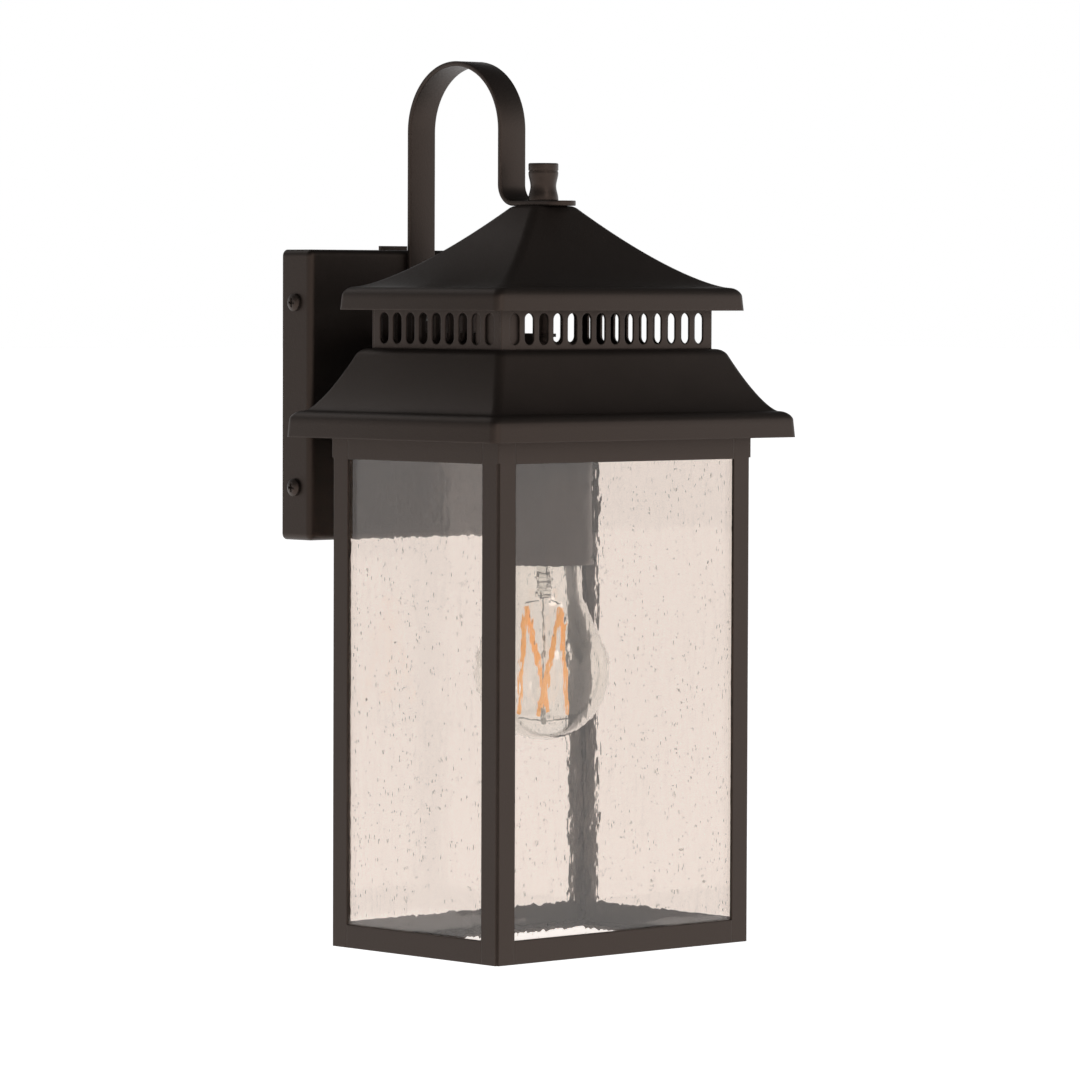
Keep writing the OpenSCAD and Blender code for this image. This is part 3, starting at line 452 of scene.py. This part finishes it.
def strapArm():
    # a rounded flat bar carried along: leg, half circle, leg, quarter bend, foot with a round tip
    v = strapShape
    low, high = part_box("arm_strap")
    half, t = high[0], v["thick"]
    wallY, roomY = high[1] - t / 2, axisY + v["legBack"] + t / 2
    archR = (wallY - roomY) / 2
    archY, archZ = (wallY + roomY) / 2, high[2] - t / 2 - archR
    bendR = v["bend"] - t / 2
    bendZ = v["footZ"] + v["bend"]
    up = np.linspace(low[2], archZ, 30)[:-1]
    over = np.linspace(0, np.pi, 64)
    down = np.linspace(archZ, bendZ, 12)[1:-1]
    turn = np.linspace(0, np.pi / 2, 20)
    footZ = v["footZ"] + t / 2
    tipStart = low[1] + v["tip"]
    foot = np.linspace(roomY - bendR, tipStart, 8)[1:]
    swing = np.radians(np.linspace(0, 87, 14)[1:])
    y = np.concatenate([
        wallY + 0 * up, archY + archR * np.cos(over), roomY + 0 * down,
        roomY - bendR + bendR * np.cos(turn), foot, tipStart - v["tip"] * np.sin(swing)])
    z = np.concatenate([
        up, archZ + archR * np.sin(over), down, bendZ - bendR * np.sin(turn),
        footZ + 0 * foot, footZ + 0 * swing])
    width = np.concatenate([np.ones(len(y) - len(swing)), np.cos(swing)])
    ty, tz = np.gradient(y), np.gradient(z)
    size = np.hypot(ty, tz)
    ny, nz = -tz / size, ty / size
    q, sideX, sideY = roundedCorners(5)
    e = v["edge"]
    across = sideX * (half - e) + e * np.cos(q)
    deep = sideY * (t / 2 - e) + e * np.sin(q)
    grid = np.stack([
        across * width[:, None], y[:, None] + deep * ny[:, None], z[:, None] + deep * nz[:, None]], axis=-1)
    standFor(gridPiece("armStrap", grid, "arm_strap", 40.0), "arm_strap")


strapArm()

# finial nut, in millimetres

finialShape = {"radius": 6.9, "waist": 0.95, "band": 3.74}


def finialNut():
    # base disc, waist r = outer - waist (1 - cos 2 pi t) / 2, groove, then a band with rounded rims
    v = finialShape
    low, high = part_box("finial")
    tall = (high[2] - low[2]) / mm
    outer, neck = v["radius"], tall - v["band"]
    t = np.linspace(0, 1, 30)
    rim = np.radians(np.linspace(0, 90, 7))
    r = np.concatenate([
        [0, outer - 0.5], outer - 0.3 + 0.3 * np.sin(rim),
        outer - 0.1 - v["waist"] * (1 - np.cos(2 * np.pi * t ** 0.9)) / 2,
        [outer - 0.3, outer - 0.3], outer - 0.6 + 0.5 * np.sin(rim),
        outer - 0.7 + 0.6 * np.cos(rim), [outer - 2.2, outer - 2.5, 0]])
    z = np.concatenate([
        [0, 0], 0.3 - 0.3 * np.cos(rim), 1.2 + (neck - 1.6) * t, [neck - 0.25, neck + 0.15],
        neck + 0.75 - 0.5 * np.cos(rim), tall - 0.6 + 0.6 * np.sin(rim),
        [tall, tall - 0.25, tall - 0.25]])
    turned("finialNut", np.stack([r * mm, low[2] + z * mm], axis=1), "finial", 128)


finialNut()

cupShape = {"wall": 1 * mm, "shoulder": 1.2 * mm, "chamfer": 0.3 * mm, "ring": 8 * mm}


def holderCup():
    # outer wall with a small shoulder on top, rolled lower rim, inner wall
    v = cupShape
    low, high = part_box("socket_cup")
    outer, wall = (high[0] - low[0]) / 2, v["wall"]
    roll = np.radians(np.linspace(0, 180, 9))
    r = np.concatenate([
        [0, outer - v["shoulder"], outer - v["chamfer"], outer], [outer],
        outer - wall / 2 + wall / 2 * np.cos(roll), [outer - wall, 0]])
    z = np.concatenate([
        [high[2], high[2], high[2] - v["chamfer"], high[2] - v["shoulder"]], [low[2] + v["ring"]],
        low[2] + wall / 2 - wall / 2 * np.sin(roll), [high[2] - wall, high[2] - wall]])
    turned("holderCup", np.stack([r, z], axis=1), "socket_cup", 128)


holderCup()
print("arm, finial and cup ready")

# lamp: glass, screw base, filaments and stem

lampShape = {
    "neck": 17.4 * mm, "neckHigh": 40 * mm, "ballDown": 31.8 * mm, "wall": 0.8 * mm,
    "collar": 11.5 * mm, "pitch": 3.63 * mm, "threadDepth": 0.9 * mm,
}
bulbLow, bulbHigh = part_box("bulb_glass")
baseLow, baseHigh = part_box("bulb_base")


def lampGlassBlown():
    # ball, then two eased shoulders up to the collar inside the base; the inner skin returns
    v = lampShape
    outer = (bulbHigh[0] - bulbLow[0]) / 2
    ballZ = bulbLow[2] + v["ballDown"]
    neckZ = ballZ + v["neckHigh"]
    rimZ = baseLow[2]

    def skin(inset):
        a = np.linspace(0, np.pi / 2, 30)
        t = np.linspace(0, 1, 24)[1:]
        s = np.linspace(0, 1, 8)[1:]
        start = max(neckZ, rimZ - 12 * mm)
        r = np.concatenate([
            (outer - inset) * np.sin(a),
            v["neck"] - inset + (outer - v["neck"]) * (1 - ease(t)),
            v["collar"] - inset + (v["neck"] - v["collar"]) * (1 - ease(s)),
            [v["collar"] - inset]])
        z = np.concatenate([
            ballZ - (v["ballDown"] - inset) * np.cos(a), ballZ + v["neckHigh"] * t,
            start + (rimZ + 1 * mm - start) * s, [bulbHigh[2]]])
        return r, z

    outR, outZ = skin(0)
    inR, inZ = skin(v["wall"])
    r, z = np.concatenate([outR, inR[::-1]]), np.concatenate([outZ, inZ[::-1]])
    turned("lampBulb", np.stack([r, z], axis=1), "bulb_glass", 128)


def lampScrewBase():
    # r = outer - depth (1 + cos (2 pi z / pitch - a)) / 2 along the threaded part,
    # eased off at both of its ends
    v = lampShape
    outer = (baseHigh[0] - baseLow[0]) / 2
    a = np.linspace(0, 2 * np.pi, 72, endpoint=False)
    z = np.linspace(baseLow[2], baseHigh[2] - 1.2 * mm, 90)[:, None]
    fromRim = (z - baseLow[2]) / mm
    fade = np.clip((fromRim - 2.2) / 1.5, 0, 1) * np.clip((fromRim.max() - fromRim) / 1.2, 0, 1)
    wave = (1 + np.cos(2 * np.pi * z / v["pitch"] - a)) / 2
    r = outer - 0.35 * mm - fade * v["threadDepth"] * wave + fade * 0.35 * mm
    wall = np.stack([r * np.cos(a), axisY + r * np.sin(a), z + 0 * a], axis=-1)

    def ring(radius, height):
        return np.stack([radius * np.cos(a), axisY + radius * np.sin(a), height + 0 * a], axis=-1)[None]

    topR = outer - 2.5 * mm
    grid = np.concatenate([
        ring(outer - 1.5 * mm, baseHigh[2] - 2.2 * mm), ring(outer - 1.5 * mm, baseLow[2] + 2 * mm),
        ring(outer - 0.8 * mm, baseLow[2]), wall, ring(outer - 1.0 * mm, baseHigh[2] - 0.5 * mm),
        ring(topR, baseHigh[2]), ring(topR, baseHigh[2] - 1.6 * mm)])
    standFor(gridPiece("lampBase", grid, "bulb_base", 60.0), "bulb_base")


filamentShape = {
    "radius": 1.05 * mm, "turn": -43, "topX": 8 * mm, "side": 1.4 * mm, "footR": 11.3 * mm,
    "footTurn": -12, "gap": 0.1 * mm,
}


def filamentSticks():
    # four straight sticks with round ends; a point is centre(s) + r(s) (u cos a + v sin a)
    v = filamentShape
    low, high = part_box("bulb_filaments")
    zTop, zEnd = high[2] - v["gap"], low[2] + v["gap"]
    angle = np.radians(v["turn"])
    spin = np.array([[np.cos(angle), -np.sin(angle)], [np.sin(angle), np.cos(angle)]])
    footAngle = np.radians(v["footTurn"] + 90 * np.arange(4))
    feet = [v["footR"] * np.array([np.cos(b), np.sin(b)]) for b in footAngle]
    # side of the head, number of the foot, and which of the two heads on that side
    runs = [(-1, 2, -1), (-1, 1, 1), (1, 3, -1), (1, 0, 1)]
    ends = []
    for xSide, foot, ySide in runs:
        head = spin @ np.array([xSide * v["topX"], ySide * v["side"]])
        tail = spin @ feet[foot]
        ends.append((
            np.array([head[0], axisY + head[1], zTop]), np.array([tail[0], axisY + tail[1], zEnd])))
    s = np.linspace(0, 1, 40)
    cap = np.radians(np.linspace(0, 90, 6))
    a = np.linspace(0, 2 * np.pi, 16, endpoint=False)
    for k, (head, tail) in enumerate(ends):
        d = tail - head
        long = np.linalg.norm(d)
        d = d / long
        u = np.cross(d, [0, 0, 1.0])
        u /= np.linalg.norm(u)
        w = np.cross(d, u)
        r = v["radius"]
        along = np.concatenate([
            r - r * np.cos(cap), r + (long - 2 * r) * s[1:-1], long - r + r * np.sin(cap)])
        thick = np.concatenate([r * np.sin(cap), np.full(len(s) - 2, r), r * np.cos(cap)])
        grid = (head + along[:, None, None] * d
                + thick[:, None, None] * (np.cos(a)[:, None] * u + np.sin(a)[:, None] * w))
        piece = gridPiece(f"filament{k + 1}", grid, "bulb_filaments")
        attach(piece, "lamp")
        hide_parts("bulb_filaments")


def lampStem():
    # glass stem: flared foot r = 3.4 + 7 ease(t)^1.5, three soft rings, and a pinched end
    low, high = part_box("bulb_stem")
    tall = high[2] - low[2]
    t = np.linspace(0, 1, 60)
    rings = sum(0.5 * mm * np.exp(-((t - place) / 0.02) ** 2) for place in (0.08, 0.16, 0.3))
    r = 3.2 * mm + rings + 7.0 * mm * ease(np.clip((t - 0.5) / 0.5, 0, 1)) ** 1.5
    r[0], r[-1] = 2.2 * mm, 10.0 * mm
    inner = np.clip(r[::-1] - 0.9 * mm, 1.0 * mm, None)
    inT = 0.12 + 0.88 * t[::-1]
    outR, outZ = np.concatenate([[0], r]), np.concatenate([[0], 0.02 + 0.98 * t])
    outline = np.stack([np.concatenate([outR, inner, [0]]),
                        low[2] + tall * np.concatenate([outZ, inT, [0.12]])], axis=1)
    turned("lampStem", outline, "bulb_stem", 64)


lampGlassBlown()
lampScrewBase()
filamentSticks()
lampStem()
print("lamp ready")

# seeds in the panes, half sizes in millimetres

seedShape = {
    "perPane": 620, "sideShare": 0.7, "long": (0.35, 1.3), "wide": (0.12, 0.24), "skew": 1.3,
    "longScale": 0.8, "fromEdge": 5 * mm, "fromFace": 0.9 * mm, "seed": 7,
}


def paneSeeds():
    # each bubble is an upright ellipsoid on a small grid of two angles
    v = seedShape
    rng = np.random.default_rng(v["seed"])
    up = np.radians(np.linspace(-90, 90, 6))[:, None]
    a = np.linspace(0, 2 * np.pi, 6, endpoint=False)
    unit = np.stack([np.cos(up) * np.cos(a), np.cos(up) * np.sin(a), np.sin(up) + 0 * a], axis=-1)
    unit = unit.reshape(-1, 3)
    quads = ringQuads(len(up), len(a))[1]
    for side in ("front", "back", "left", "right"):
        low, high = (np.array(c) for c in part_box("glass_" + side))
        margin = np.where(high - low < v["fromEdge"], v["fromFace"], v["fromEdge"])
        count = int(v["perPane"] * (1.0 if side in ("front", "back") else v["sideShare"]))
        centre = low + margin + rng.random((count, 3)) * (high - low - 2 * margin)
        wide = rng.uniform(*v["wide"], count) * mm
        tall = rng.uniform(*v["long"], count) ** v["skew"] * v["longScale"] * mm
        size = np.stack([wide, wide, tall], axis=1)
        points = centre[:, None] + unit * size[:, None]
        faces = (quads[None] + (np.arange(count) * len(unit))[:, None, None]).reshape(-1, 4)
        mesh = bpy.data.meshes.new("seeds_" + side)
        mesh.from_pydata(points.reshape(-1, 3).tolist(), [], faces.tolist())
        closeUp(mesh)
        mesh.materials.append(bubbleGlass)
        piece = bpy.data.objects.new("seeds_" + side, mesh)
        bpy.context.scene.collection.objects.link(piece)
        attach(piece, "lantern")


paneSeeds()
print("panes ready")

# room, lights and camera

stageLook = {
    "floorZ": -0.42, "floorSize": 30.0, "skySide": 1.0, "skyTop": 0.05, "skyLow": 0.45,
    "leftFade": 0.75, "leftWay": (-0.75, 0.65, 0.0), "glow": 0.95,
}


def room():
    v = stageLook
    mesh = bpy.data.meshes.new("paleFloor")
    s = v["floorSize"]
    corners = [(-s, -s), (s, -s), (s, s), (-s, s)]
    mesh.from_pydata([(x, y, v["floorZ"]) for x, y in corners], [], [(0, 1, 2, 3)])
    floor = bpy.data.objects.new("paleFloor", mesh)
    bpy.context.scene.collection.objects.link(floor)
    material, n = newMaterial("paleFloor")
    n.finish(n.add("BsdfPrincipled", None, {
        "Base Color": (0.9, 0.9, 0.9, 1), "Roughness": 0.9,
        "Emission Color": (1, 1, 1, 1), "Emission Strength": v["glow"]}))
    mesh.materials.append(material)
    world = bpy.data.worlds.new("studio")
    bpy.context.scene.world = world
    n = Nodes(world)
    # bright all round at eye level, dim overhead and at the lantern's left rear
    direction = n.add("TexCoord", out="Generated")
    height = n.add("SeparateXYZ", None, {0: direction}, out=2)
    toLeft = n.add(
        "VectorMath", {"operation": "DOT_PRODUCT"}, {0: direction, 1: v["leftWay"]}, out="Value")
    sky = n.add("ValToRGB", {"stops": [
        (0.0, (v["skyLow"],) * 3), (0.42, (v["skySide"],) * 3), (0.58, (v["skySide"],) * 3),
        (0.74, (v["skyTop"],) * 3)]}, {0: height * 0.5 + 0.5})
    strength = 1.0 - (toLeft - 0.15).atLeast(0.0) * v["leftFade"]
    seen = n.add("LightPath", out="Is Camera Ray")
    n.finish(n.add("Background", None, {
        "Color": n.blend(seen, sky, (1.0, 1.0, 1.0)), "Strength": strength.atLeast(seen)}), "OutputWorld")


softLights = {
    "keySoft": {"place": (-0.75, -2.6, 1.25), "aimZ": -0.05, "size": (0.5, 0.7), "power": 7},
    "fillSoft": {"place": (0.55, -2.7, 1.5), "aimZ": -0.05, "size": (0.35, 0.5), "power": 3},
    "rearSoft": {"place": (-0.3, 1.9, 1.75), "aimZ": 0.05, "size": (1.6, 1.2), "power": 4},
}


def areaLight(name, place, aim, size, power):
    light = bpy.data.lights.new(name, "AREA")
    light.shape = "RECTANGLE"
    light.size, light.size_y = size
    light.energy = power
    lamp = bpy.data.objects.new(name, light)
    lamp.location = place
    lamp.rotation_euler = (Vector(aim) - Vector(place)).to_track_quat("-Z", "Y").to_euler()
    bpy.context.scene.collection.objects.link(lamp)


cameraShape = {
    "azimuth": -43, "far": 2.72, "height": 0.0522, "lens": 199.88, "sensor": 36,
    "turn": 0.02, "tilt": 2.467, "roll": 0.203,
}


def takeView():
    # stands level with the roof and looks down a little, at the middle of the lantern
    v = cameraShape
    data = bpy.data.cameras.new("camera")
    data.sensor_width = v["sensor"]
    data.lens = v["lens"]
    data.clip_start, data.clip_end = 0.05, 100
    camera = bpy.data.objects.new("camera", data)
    stand, look = math.radians(v["azimuth"]), math.radians(v["azimuth"] + v["turn"])
    tilt, roll = math.radians(v["tilt"]), math.radians(v["roll"])
    away = Vector((math.sin(stand), -math.cos(stand), 0))
    back = Vector((math.sin(look) * math.cos(tilt), -math.cos(look) * math.cos(tilt), math.sin(tilt)))
    camera.location = Vector((0, axisY, v["height"])) + away * v["far"]
    turn = Matrix.Rotation(roll, 3, back) @ (-back).to_track_quat("-Z", "Y").to_matrix()
    camera.rotation_mode = "QUATERNION"
    camera.rotation_quaternion = turn.to_quaternion()
    bpy.context.scene.collection.objects.link(camera)
    bpy.context.scene.camera = camera


room()
for lightName, light in softLights.items():
    areaLight(lightName, light["place"], (0, axisY, light["aimZ"]), light["size"], light["power"])
takeView()
bpy.context.scene.view_settings.view_transform = "Standard"
print("room ready")
